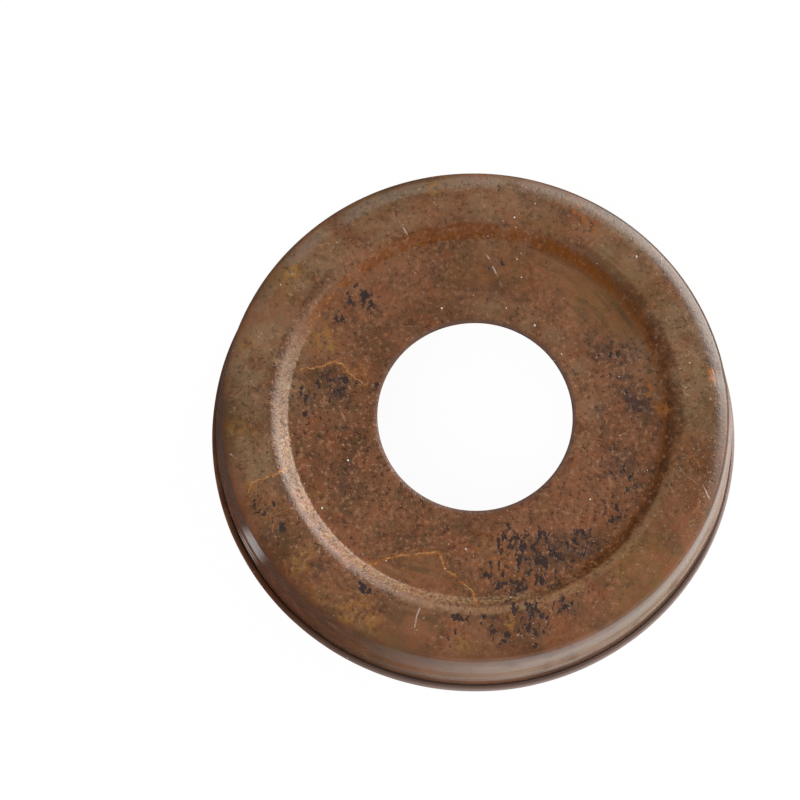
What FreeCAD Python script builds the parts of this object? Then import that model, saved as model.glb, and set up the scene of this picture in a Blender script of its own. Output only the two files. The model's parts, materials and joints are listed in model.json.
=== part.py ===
"""Screw lid for a regular-mouth preserving jar, pressed from one steel sheet, with a light hole in its panel.

The lid stands on its hem: +Z runs up its axis, and the origin is the centre of the circle it stands on.
Sizes are in millimetres. A radius is measured from the lid's axis, unless its name ends in BEND or BEAD_RADIUS.
"""

import FreeCAD
import Part
import math
import os

# Overall sizes
SKIRT_RADIUS = 35.55        # outside of the upper skirt, just below the shoulder
LID_HEIGHT = 13.0           # from the standing circle to the top of the rim
SHEET = 0.3                 # gauge of the steel, the same everywhere

# Top of the lid, with the panel recessed inside a raised rim
HOLE_RADIUS = 13.6          # punched light hole
RIM_WIDTH = 7.35            # top of the rim, from the head of the step out to the skirt
RECESS_DEPTH = 1.8          # how far the panel lies below the rim
STEP_RUN = 2.0              # how far the sloped step from rim to panel runs inwards
STEP_FOOT_BEND = 0.8        # where the step meets the panel
STEP_HEAD_BEND = 3.0        # where the step meets the rim
CROWN_WIDTH = 1.8           # outer part of the rim, which slopes down towards the skirt
CROWN_DROP = 0.7            # how far that part slopes down
CROWN_BEND = 4.0            # where the slope begins
SHOULDER_BEND = 1.0         # where the slope turns down into the skirt

# Skirt, which leans in above the thread and widens to a band below it
TAPER = 0.12                # how far the top of the skirt leans in
TAPER_DROP = 2.5            # from the top of the rim to where it begins to lean in
TAPER_BEND = 2.0            # at that place
BAND_HEIGHT = 6.1           # top of the band
BAND_STEP_OUT = 0.6         # how far the band stands out beyond the upper skirt
BAND_STEP_RISE = 0.8        # height of the slope above the band
BAND_BEND = 1.0             # at both ends of that slope

# Hem, curled outwards so that no cut edge meets the jar or the hand
HEM_BEAD_RADIUS = 0.55      # outside of the curl's round section
HEM_CURL_DEGREES = 280.0    # how far round the sheet is curled

# Rubber ring against the flat roof of the channel under the rim
SEAL_THICKNESS = 1.0
SEAL_CLEARANCE = 0.25       # from each edge of the ring to the bend beside it
SEAL_EDGE_BEND = 0.2        # on the two edges that face the jar

# Places worked out from the sizes above
PANEL_HEIGHT = LID_HEIGHT - RECESS_DEPTH
STEP_HEAD_RADIUS = SKIRT_RADIUS - RIM_WIDTH
STEP_FOOT_RADIUS = STEP_HEAD_RADIUS - STEP_RUN
STEP_SLOPE = math.atan2(RECESS_DEPTH, STEP_RUN)
SHOULDER_RADIUS = SKIRT_RADIUS - TAPER
CROWN_RADIUS = SHOULDER_RADIUS - CROWN_WIDTH
CROWN_SLOPE = math.atan2(CROWN_DROP, CROWN_WIDTH)
BAND_RADIUS = SKIRT_RADIUS + BAND_STEP_OUT
ROOF_HEIGHT = LID_HEIGHT - SHEET

FOOT = FreeCAD.Vector(0, 0, 0)
UP = FreeCAD.Vector(0, 0, 1)
ROUND_JOIN = 0              # makeOffset2D's join type for arcs


def at(radius, height):
    """Point of the half section, in the XZ plane."""
    return FreeCAD.Vector(radius, 0, height)


def line(start, end):
    """Straight edge."""
    return Part.LineSegment(start, end).toShape()


def bend_reach(bend, turn):
    """Distance from a corner to where its bend begins, for a line that turns there by that many radians."""
    return bend * math.tan(turn / 2)


def bent_line(corners):
    """Edges of a line through (point, bend radius) corners, rounded at each one but the first and last."""
    edges = []
    start = corners[0][0]
    for (before, _), (corner, bend), (after, _) in zip(corners, corners[1:], corners[2:]):
        back = (before - corner).normalize()
        ahead = (after - corner).normalize()
        turn = math.pi - back.getAngle(ahead)
        to_centre = (back + ahead).normalize()
        arc_start = corner + back * bend_reach(bend, turn)
        arc_middle = corner + to_centre * (bend / math.cos(turn / 2) - bend)
        arc_end = corner + ahead * bend_reach(bend, turn)
        edges += [line(start, arc_start), Part.Arc(arc_start, arc_middle, arc_end).toShape()]
        start = arc_end
    return edges + [line(start, corners[-1][0])]


def curl(centre, radius, sweep_degrees):
    """Edges of a curl that starts level with its centre, on the axis side, and runs down and outwards."""
    points = []
    for quarter in range(5):
        angle = math.pi + math.radians(sweep_degrees) * quarter / 4
        points.append(centre + at(radius * math.cos(angle), radius * math.sin(angle)))
    return [Part.Arc(*points[0:3]).toShape(), Part.Arc(*points[2:5]).toShape()]


def make_lid_shell():
    """The pressing: its outside line from the hole to the end of the hem, one gauge thick, turned about the axis."""
    outside = bent_line([
        (at(HOLE_RADIUS, PANEL_HEIGHT), 0),
        (at(STEP_FOOT_RADIUS, PANEL_HEIGHT), STEP_FOOT_BEND),
        (at(STEP_HEAD_RADIUS, LID_HEIGHT), STEP_HEAD_BEND),
        (at(CROWN_RADIUS, LID_HEIGHT), CROWN_BEND),
        (at(SHOULDER_RADIUS, LID_HEIGHT - CROWN_DROP), SHOULDER_BEND),
        (at(SKIRT_RADIUS, LID_HEIGHT - TAPER_DROP), TAPER_BEND),
        (at(SKIRT_RADIUS, BAND_HEIGHT + BAND_STEP_RISE), BAND_BEND),
        (at(BAND_RADIUS, BAND_HEIGHT), BAND_BEND),
        (at(BAND_RADIUS, HEM_BEAD_RADIUS), 0),
    ])
    # the sheet's outside becomes the inside of the curl
    eye = HEM_BEAD_RADIUS - SHEET
    outside += curl(at(BAND_RADIUS + eye, HEM_BEAD_RADIUS), eye, HEM_CURL_DEGREES)
    section = Part.Wire(outside).makeOffset2D(-SHEET, ROUND_JOIN, fill=True, openResult=True)
    return section.Faces[0].revolve(FOOT, UP, 360)


def make_sealing_ring():
    """The ring: as wide as the flat roof between the bends of the step and the crown, less its clearance."""
    inner = STEP_HEAD_RADIUS + bend_reach(STEP_HEAD_BEND, STEP_SLOPE) + SEAL_CLEARANCE
    outer = CROWN_RADIUS - bend_reach(CROWN_BEND, CROWN_SLOPE) - SEAL_CLEARANCE
    lip_height = ROOF_HEIGHT - SEAL_THICKNESS
    section = bent_line([
        (at(inner, ROOF_HEIGHT), 0),
        (at(inner, lip_height), SEAL_EDGE_BEND),
        (at(outer, lip_height), SEAL_EDGE_BEND),
        (at(outer, ROOF_HEIGHT), 0),
    ])
    section.append(line(at(outer, ROOF_HEIGHT), at(inner, ROOF_HEIGHT)))
    return Part.Face(Part.Wire(section)).revolve(FOOT, UP, 360)


def main():
    """Writes each piece to its own file, under its own name."""
    os.makedirs("parts", exist_ok=True)
    pieces = {"lid_shell": make_lid_shell(), "sealing_ring": make_sealing_ring()}
    for name, shape in pieces.items():
        shape.exportStep(f"parts/{name}.step")
        box = shape.optimalBoundingBox()
        print(f"{name}: valid {shape.isValid()}, {shape.Volume:.1f} mm3,"
              f" {box.XLength:.2f} x {box.YLength:.2f} x {box.ZLength:.2f} mm")


main()
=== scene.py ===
"""Rusted and clear-lacquered screw lid of a jar lantern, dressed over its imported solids.

The lid stands on its hem, +Z up its axis. Sizes are in millimetres until a mesh is made, which is in metres.
"""

import json
import logging
import math
from collections.abc import Callable, Sequence
from dataclasses import dataclass
from enum import Enum
from functools import partial
from typing import Any

import bpy
import numpy as np
from mathutils import Matrix, Vector, noise


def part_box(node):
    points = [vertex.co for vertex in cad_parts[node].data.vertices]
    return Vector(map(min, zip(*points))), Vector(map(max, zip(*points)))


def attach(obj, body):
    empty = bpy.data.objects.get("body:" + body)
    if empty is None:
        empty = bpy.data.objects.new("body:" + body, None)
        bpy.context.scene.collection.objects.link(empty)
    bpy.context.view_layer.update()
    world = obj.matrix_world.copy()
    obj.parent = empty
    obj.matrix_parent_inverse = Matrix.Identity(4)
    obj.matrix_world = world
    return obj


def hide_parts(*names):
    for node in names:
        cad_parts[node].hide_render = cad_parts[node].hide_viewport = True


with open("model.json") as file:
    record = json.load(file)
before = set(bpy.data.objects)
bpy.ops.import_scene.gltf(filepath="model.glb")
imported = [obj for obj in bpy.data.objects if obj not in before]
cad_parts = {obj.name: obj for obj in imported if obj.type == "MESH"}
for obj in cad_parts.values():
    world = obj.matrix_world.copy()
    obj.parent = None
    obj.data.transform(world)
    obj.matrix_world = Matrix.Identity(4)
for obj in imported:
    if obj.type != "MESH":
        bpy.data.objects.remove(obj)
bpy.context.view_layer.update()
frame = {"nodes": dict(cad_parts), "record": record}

MM = 0.001
FACETS = 360                # round the axis, so that no outline shows its corners
EDGE_POINTS = 5             # along each half-round cut edge of the sheet
BEND_STEP_DEGREES = 8.0     # most that a bend turns from one point to the next
SEAM = 0.002                # within which the two ends of a turned strip are joined
DENT_PUSH = (-1.0, -1.0, -3.0)      # inwards, and more down than in
SPOT_SHIFT = (7.0, 0.0, 3.0)        # of a pattern, in its own sizes, so that no two patterns match
WHITE = "#ffffff"
log = logging.getLogger("jar_lid")

# Short names for Blender's types, kinds of node and settings
Tree = bpy.types.NodeTree
Socket = bpy.types.NodeSocket
Material = bpy.types.Material
Mesh = bpy.types.Mesh
Object = bpy.types.Object
Pair = tuple[float, float]                      # such as where something begins and where it is full
Triple = tuple[float, float, float]
Adder = Callable[..., Socket]                   # add_node with its tree filled in
MATH = "ShaderNodeMath"
VECTOR = "ShaderNodeVectorMath"
WHOLE_MATH = "FunctionNodeIntegerMath"
RANGE = "ShaderNodeMapRange"                    # value, from low, from high, to low, to high
NOISE = "ShaderNodeTexNoise"
SPLIT = "ShaderNodeSeparateXYZ"
MIX = "ShaderNodeMix"
EASED = {"interpolation_type": "SMOOTHSTEP"}
SHARE, FIRST_TINT, SECOND_TINT, MIXED_TINT = 0, 6, 7, 2     # sockets of a Mix of colours, whose names repeat
FIRST_LEVEL, SECOND_LEVEL = 2, 3                            # inputs of a Mix of numbers


class Mark(Enum):
    """What a line on the lid is."""

    TIDE = "tide"           # ochre edge of a dried puddle
    STREAK = "streak"       # fresh orange rust
    SCRATCH = "scratch"     # bare metal
    HAIRLINE = "hairline"   # scratch in the lacquer only
    CRACK = "crack"         # lifted lacquer


@dataclass(frozen=True)
class Patch:
    """Round place on the lid, in millimetres, with a strength that fades to nothing at its reach."""

    x: float
    y: float
    reach: float
    strength: float = 1.0


@dataclass(frozen=True)
class Stroke:
    """Line on the lid through points in millimetres, with the distance at which it has no more effect."""

    points: tuple[Pair, ...]
    reach: float = 0.9


def linear(colour: str) -> tuple[float, float, float, float]:
    """Turns an sRGB hex value to linear light.

    Args:
        colour: "#rrggbb".

    Returns:
        Red, green, blue and an alpha of 1.
    """
    channels = [int(colour[n:n + 2], 16) / 255 for n in (1, 3, 5)]
    red, green, blue = (c / 12.92 if c <= 0.04045 else ((c + 0.055) / 1.055) ** 2.4 for c in channels)
    return red, green, blue, 1.0


def add_node(tree: Tree, kind: str, inputs: Sequence[Any] | dict[Any, Any] = (), output: Any = 0,
             **settings: Any) -> Socket:
    """Adds a node with its settings, and fills its inputs.

    Args:
        tree: The tree to add it to.
        kind: The node's type.
        inputs: Sockets to link or values to set, in order or by the input's name or number.
        output: Name or number of the output to hand back.
        settings: The node's properties.

    Returns:
        That output. Its node is the socket's own.
    """
    node = tree.nodes.new(kind)
    for name, value in settings.items():
        setattr(node, name, value)
    for key, value in inputs.items() if isinstance(inputs, dict) else enumerate(inputs):
        if isinstance(value, Socket):
            tree.links.new(value, node.inputs[key])
        else:
            node.inputs[key].default_value = value
    return node.outputs[output] if len(node.outputs) else None


def new_material(name: str) -> tuple[Material, Adder]:
    """Makes an empty node material.

    Args:
        name: What the material really is.

    Returns:
        The material, and add_node for its tree.
    """
    material = bpy.data.materials.new(name)
    material.use_nodes = True
    material.node_tree.nodes.clear()
    return material, partial(add_node, material.node_tree)


def millimetres(add: Adder) -> Socket:
    """Object coordinates of a material's surface, in millimetres."""
    place = add("ShaderNodeTexCoord", output="Object")
    return add(VECTOR, {0: place, "Scale": 1 / MM}, operation="SCALE")


@dataclass(frozen=True)
class Spots:
    """Soft-edged pattern of spots, made from noise."""

    size: float             # millimetres from spot to spot
    none: float             # noise level at which there is no spot
    full: float             # noise level at which the spot is full
    detail: float = 3.0     # octaves of finer noise
    roughness: float = 0.5  # strength of each finer octave

    def level(self, add: Adder, place: Socket, most: Socket | float = 1.0) -> Socket:
        """Lays the spots.

        Args:
            add: Adds a node to the material.
            place: Coordinates in millimetres.
            most: Level of a full spot.

        Returns:
            The level.
        """
        shifted = add(VECTOR, (place, tuple(self.size * n for n in SPOT_SHIFT)), operation="ADD")
        level = add(NOISE, {"Vector": shifted, "Scale": 1 / self.size, "Detail": self.detail,
                            "Roughness": self.roughness})
        return add(RANGE, (level, self.none, self.full, 0.0, most), **EASED)


# Where the rust differs from place to place, seen from above: rows of x, y, reach and strength
ZONES: dict[str, tuple[Patch, ...]] = {name: tuple(Patch(*row) for row in rows) for name, rows in {
    "pitted": (
        (8.0, -17.5, 5.0), (11.5, -20.0, 5.2), (16.8, -17.0, 4.6), (4.2, -22.5, 3.8), (7.8, -23.6, 3.2),
        (19.5, -12.0, 4.0, 0.8), (20.8, 4.2, 5.2, 0.55), (18.0, 11.2, 4.6, 0.5), (21.5, -6.0, 4.5, 0.55),
        (4.6, -30.0, 3.2, 0.95), (9.2, -28.8, 4.2, 0.95), (13.6, -26.6, 3.6), (5.9, -31.8, 2.6, 0.9),
        (0.6, -29.6, 2.8), (-0.5, -32.6, 2.2, 0.9), (10.8, -31.5, 2.4, 0.8), (-17.2, 15.6, 3.4, 0.95),
        (-20.2, 13.4, 2.4, 0.8), (-23.8, 0.2, 3.6, 0.85), (-20.0, 2.6, 3.8, 0.85), (-27.8, -15.8, 2.6, 0.9),
        (-26.0, -18.6, 2.6, 0.7), (10.6, 29.4, 2.4, 0.4), (0.8, 22.2, 2.2, 0.7), (-15.0, 4.0, 4.0, 0.4),
        (-13.1, -26.6, 2.4, 0.8), (26.4, -5.0, 2.2, 0.6), (25.6, -8.8, 2.0, 0.7)),
    "scaled": (
        (17.3, 11.9, 3.4, 0.8), (19.5, 10.6, 3.0, 0.8), (21.2, 6.4, 3.4, 0.8), (22.2, 3.6, 3.4, 0.9),
        (18.1, 2.5, 2.6, 0.7), (21.4, -6.0, 4.0, 0.5), (-2.2, 17.9, 3.0, 0.4), (2.0, 18.3, 2.6, 0.4),
        (6.2, 18.1, 2.4, 0.5), (10.5, 17.6, 2.4, 0.4), (14.0, 16.5, 2.0, 0.3), (10.4, 30.2, 2.2, 0.45),
        (-24.0, -0.5, 2.2, 0.6), (-20.0, 4.1, 2.0, 0.7), (-19.5, 1.8, 2.0, 0.7), (-17.4, -9.3, 2.4, 0.5),
        (-16.4, -12.1, 2.4, 0.5), (-28.0, -15.5, 2.4, 0.5), (-26.6, -19.0, 2.4, 0.6),
        (-13.1, -26.6, 2.6, 0.7), (-19.4, -25.0, 2.4, 0.6), (-17.6, -29.9, 2.0, 0.4),
        (16.8, -17.5, 4.0, 0.6), (30.4, 12.3, 1.8, 0.6), (0.8, 22.2, 2.0, 0.5), (12.0, -19.0, 6.0, 0.4),
        (15.2, -26.6, 2.6, 0.5), (7.0, -30.4, 5.0, 0.3)),
    "grainy": (
        (-18.0, -6.0, 17.0), (-6.0, -19.0, 9.0, 0.6), (-17.0, 12.0, 9.0, 0.3), (13.0, -19.0, 13.0, 0.6),
        (20.0, 4.0, 10.0, 0.8), (-24.0, -21.0, 8.0, 0.9), (20.0, -8.0, 9.0, 0.7), (-14.0, -29.0, 6.0, 0.7),
        (-31.0, 2.0, 9.0, 0.8), (-26.0, 18.0, 6.0, 0.6)),
    "smooth": (
        (15.0, 20.0, 8.0, 0.95), (20.0, 15.5, 5.0, 0.95), (9.0, 22.5, 5.0, 0.8), (-6.0, -22.6, 4.0),
        (-10.0, -23.0, 3.0, 0.8), (-2.6, -24.2, 2.6, 0.8), (-6.0, -30.0, 6.0, 0.8), (-32.0, 0.0, 9.0, 0.2),
        (-30.0, 10.0, 7.0, 0.3), (27.0, -18.0, 8.0, 0.4), (1.0, 20.0, 9.0, 0.5), (-13.0, 15.0, 8.0, 0.3),
        (6.0, -30.0, 9.0, 0.1)),
    "olive": (
        (-32.0, -6.0, 7.0, 0.45), (-17.5, -30.5, 6.0, 0.45), (-10.0, -33.5, 6.0, 0.4),
        (31.0, 6.0, 8.0, 0.4), (-28.0, 17.0, 6.0, 0.5), (25.0, -20.0, 9.0, 0.45), (17.0, 19.0, 8.0, 0.4)),
    "pale": (
        (15.0, 20.0, 8.0, 0.5), (20.0, 15.5, 5.0, 0.5), (9.0, 22.5, 5.0, 0.4), (-6.0, -22.6, 4.0, 0.3),
        (23.0, 22.0, 9.0, 0.3), (23.0, -19.5, 4.5, 0.5), (15.0, -24.0, 3.0, 0.4), (8.5, 28.0, 4.0, 0.4),
        (0.0, 21.0, 8.0, 0.35), (-27.7, -16.0, 3.6, 0.6), (-22.6, -22.6, 3.4, 0.3), (20.5, 5.5, 3.0, 0.3),
        (-17.0, 29.3, 3.2, 0.5), (-24.0, 24.0, 3.2, 0.4), (-29.3, 17.0, 3.2, 0.5)),
    # grey-brown rust tone; on the rim, strongest towards +X, it is also a painted reflection haze
    "grey_and_sheen": (
        (0.0, 32.0, 12.0, 0.5), (-16.0, 28.0, 9.0, 0.5), (29.0, 12.0, 12.0, 0.9), (20.0, 26.0, 9.0, 0.85),
        (-30.0, 5.0, 11.0, 0.85), (-24.0, 19.0, 8.0, 0.6), (31.0, 2.0, 6.0, 0.5), (-29.0, -9.0, 6.0, 0.8),
        (15.4, 3.0, 3.2, 0.55), (13.6, 8.0, 3.2, 0.6), (10.5, 11.8, 3.2, 0.6), (6.0, 14.7, 3.2, 0.6),
        (1.0, 15.6, 3.2, 0.5), (15.2, -3.5, 3.0, 0.5)),
    "ochre": (
        (7.1, -29.6, 1.8, 0.8), (0.9, -33.4, 2.2, 0.5), (-27.6, 17.8, 2.4, 0.8), (-22.2, 9.2, 3.4, 0.8),
        (-21.5, -14.0, 3.0, 0.25), (-14.6, -29.6, 3.4, 0.8), (-12.0, -30.8, 2.4, 0.7),
        (-22.6, -23.5, 3.2, 0.6), (-8.0, 33.0, 3.0, 0.5), (-32.6, 7.2, 1.8, 0.7), (-32.9, -5.4, 2.0, 0.5),
        (-30.2, -13.2, 1.4, 0.6), (-17.0, 4.6, 2.8, 0.4)),
    "orange": (
        (26.3, 3.2, 1.3), (24.0, 6.4, 1.6, 0.8), (12.3, 30.8, 1.4, 0.35), (14.6, 28.4, 1.8, 0.35),
        (31.5, -0.8, 1.6, 0.6), (32.5, 8.4, 1.3, 0.9), (4.5, -19.5, 5.0, 0.35), (-20.0, -27.0, 4.0, 0.4),
        (4.0, 27.2, 3.0, 0.35), (30.0, -3.0, 4.0, 0.3)),
}.items()}
STROKES: dict[Mark, tuple[Stroke, ...]] = {
    Mark.TIDE: (
        Stroke(((-30.4, -13.8), (-30.0, -12.7), (-28.6, -12.3), (-26.9, -11.2), (-25.8, -10.3)), 1.6),
        Stroke(((-24.9, 4.5), (-21.9, 5.4), (-19.7, 6.3), (-18.2, 4.8), (-16.1, 3.5)), 1.6),
        Stroke(((-12.7, -22.6), (-9.4, -21.1), (-6.0, -20.4), (-3.7, -19.9),
                (-2.1, -22.4), (-0.4, -23.6), (1.9, -25.2), (2.4, -27.1)), 1.1),
    ),
    Mark.STREAK: (
        Stroke(((10.8, 31.2), (12.3, 30.0), (14.6, 28.0)), 1.4),
        Stroke(((23.5, 7.8), (24.0, 5.6), (24.4, 4.2), (25.5, 3.4), (26.6, 3.2)), 1.4),
        Stroke(((32.0, 9.3), (32.6, 8.3), (32.9, 7.5)), 1.4),
    ),
    Mark.SCRATCH: (
        Stroke(((-0.2, 23.6), (1.4, 20.8))),
        Stroke(((-5.4, -28.7), (-5.7, -29.8), (-5.8, -31.1))),
        Stroke(((32.6, -7.9), (33.2, -9.2))),
        Stroke(((31.7, 10.0), (32.5, 10.2)), 0.5),
        Stroke(((-33.4, -8.9), (-32.8, -9.3)), 0.5),
        Stroke(((-2.5, 33.0), (-2.2, 33.6)), 0.5),
        Stroke(((-12.3, 26.1), (-11.8, 25.4)), 0.4),
    ),
    Mark.CRACK: (
        Stroke(((32.5, 9.7), (33.1, 8.6), (33.4, 7.0))),
    ),
    Mark.HAIRLINE: (
        Stroke(((26.7, 17.8), (28.4, 16.1))),
        Stroke(((27.2, 16.2), (28.7, 17.5))),
        Stroke(((28.8, 11.7), (31.5, 10.1))),
        Stroke(((27.4, 8.3), (29.3, 4.4))),
        Stroke(((28.0, 7.5), (30.2, 3.9))),
        Stroke(((27.8, -5.3), (29.4, -7.4))),
        Stroke(((28.6, -5.0), (29.9, -6.5))),
        Stroke(((30.4, -6.8), (31.6, -7.5))),
        Stroke(((27.1, -7.3), (28.4, -9.0))),
    ),
}

def smoothstep(share: np.ndarray) -> np.ndarray:
    """Eases a share from 0 to 1 at both ends."""
    share = np.clip(share, 0.0, 1.0)
    return share * share * (3 - 2 * share)


def write_attribute(mesh: Mesh, name: str, level: np.ndarray) -> None:
    """Writes one number for each point of a mesh."""
    mesh.attributes.new(name, "FLOAT", "POINT").data.foreach_set("value", level.astype(np.float32))


def mark_zones(mesh: Mesh, wander: float = 2.0, wander_size: float = 5.0, full_reach: float = 5.0,
               fullness: float = 1.3, seed: int = 230) -> None:
    """Writes each zone on a mesh as an attribute, with an uneven edge.

    Args:
        mesh: The mesh, in metres.
        wander: How far an edge strays, in millimetres.
        wander_size: Millimetres from one bulge of an edge to the next.
        full_reach: Reach below which a patch strays less.
        fullness: How far past 1 a patch's level would rise, which gives it a full middle.
        seed: Keeps the edges the same in each run.
    """
    noise.seed_set(seed)
    places = np.array([v.co for v in mesh.vertices]) / MM
    stray = np.array([noise.noise_vector(Vector(p) / wander_size) for p in places])[:, :2] * wander
    for name, patches in ZONES.items():
        level = np.zeros(len(places))
        for patch in patches:
            strayed = places[:, :2] + stray * min(1.0, patch.reach / full_reach)
            apart = np.linalg.norm(strayed - (patch.x, patch.y), axis=1)
            level = np.maximum(level, patch.strength * smoothstep(fullness - fullness * apart / patch.reach))
        write_attribute(mesh, name, level)


def mark_strokes(mesh: Mesh, far: float = 1000.0) -> None:
    """Writes, for each kind of line, which side of the nearest one a point lies on and how close it is.

    Args:
        mesh: The mesh, in metres.
        far: Distance that stands for no line, in millimetres.
    """
    places = np.array([v.co for v in mesh.vertices])[:, :2] / MM
    for mark, strokes in STROKES.items():
        best = np.full(len(places), far)
        side = np.full(len(places), far)
        near = np.zeros(len(places))
        for stroke in strokes:
            for start, end in zip(np.array(stroke.points), np.array(stroke.points)[1:]):
                run = end - start
                share = np.clip((places - start) @ run / (run @ run), 0.0, 1.0)
                off = places - start - share[:, None] * run
                apart = np.linalg.norm(off, axis=1)
                closer = apart < best
                best = np.where(closer, apart, best)
                side = np.where(closer, np.copysign(apart, run[0] * off[:, 1] - run[1] * off[:, 0]), side)
                near = np.maximum(near, smoothstep(1 - apart / stroke.reach))
        write_attribute(mesh, mark.value + "_side", side)
        write_attribute(mesh, mark.value + "_near", near)


@dataclass(frozen=True)
class BendStainAndLight:
    """Band along a bend of the sheet on one side of the lid, in millimetres and degrees; some are stains that
    water left, and some are painted shade and painted highlights.
    """

    tint: str
    radius: float
    reach: float        # from the radius to where the stain is gone
    core: float         # from the radius to where the band is gone
    azimuth: float      # of its strongest side
    begin: float        # distance towards that side at which it begins
    full: float
    strength: float
    break_size: float   # from one weak place to the next
    break_levels: Pair = (0.28, 0.5)

    def level(self, add: Adder, flat: Socket, radius: Socket) -> Socket:
        """Lays the band.

        Args:
            add: Adds a node to the material.
            flat: Coordinates in millimetres, with no height.
            radius: Distance from the axis.

        Returns:
            The level.
        """
        off = add(MATH, (radius, self.radius), operation="SUBTRACT")
        off = add(MATH, (off,), operation="ABSOLUTE")
        band = add(RANGE, (off, self.reach, self.core, 0.0, self.strength), **EASED)
        band = Spots(self.break_size, *self.break_levels, detail=4.0).level(add, flat, band)
        angle = math.radians(self.azimuth)
        way = (math.cos(angle), math.sin(angle), 0.0)
        side = add(VECTOR, (flat, way), "Value", operation="DOT_PRODUCT")
        return add(RANGE, (side, self.begin, self.full, 0.0, band), **EASED)


@dataclass(frozen=True)
class Pen:
    """How the lines of one kind are drawn, in millimetres."""

    mark: Mark
    tint: str
    core: float         # half the width of the full-strength middle
    edge: float         # distance at which the line is gone
    wander: float       # how far the line strays from its points
    gap_size: float     # from one break in the line to the next
    gap: float          # noise level below which the line is broken
    gap_fade: float = 0.12
    end_fade: Pair = (0.35, 0.65)
    bend: float = 1.25  # from one stray of the line to the next

    def level(self, add: Adder, place: Socket) -> Socket:
        """Draws the lines.

        Args:
            add: Adds a node to the material.
            place: Coordinates in millimetres.

        Returns:
            The level, from 0 to 1.
        """
        side, near = (add("ShaderNodeAttribute", output="Fac", attribute_name=self.mark.value + end)
                      for end in ("_side", "_near"))
        stray = add(NOISE, {"Vector": place, "Scale": 1 / self.bend, "Detail": 4.0, "Roughness": 0.6})
        stray = add(MATH, (stray, 0.5), operation="SUBTRACT")
        side = add(MATH, (stray, 2 * self.wander, side), operation="MULTIPLY_ADD")
        side = add(MATH, (side,), operation="ABSOLUTE")
        near = add(RANGE, (near, *self.end_fade), **EASED)
        level = add(RANGE, (side, self.edge, self.core, 0.0, near), **EASED)
        return Spots(self.gap_size, self.gap, self.gap + self.gap_fade).level(add, place, level)


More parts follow.
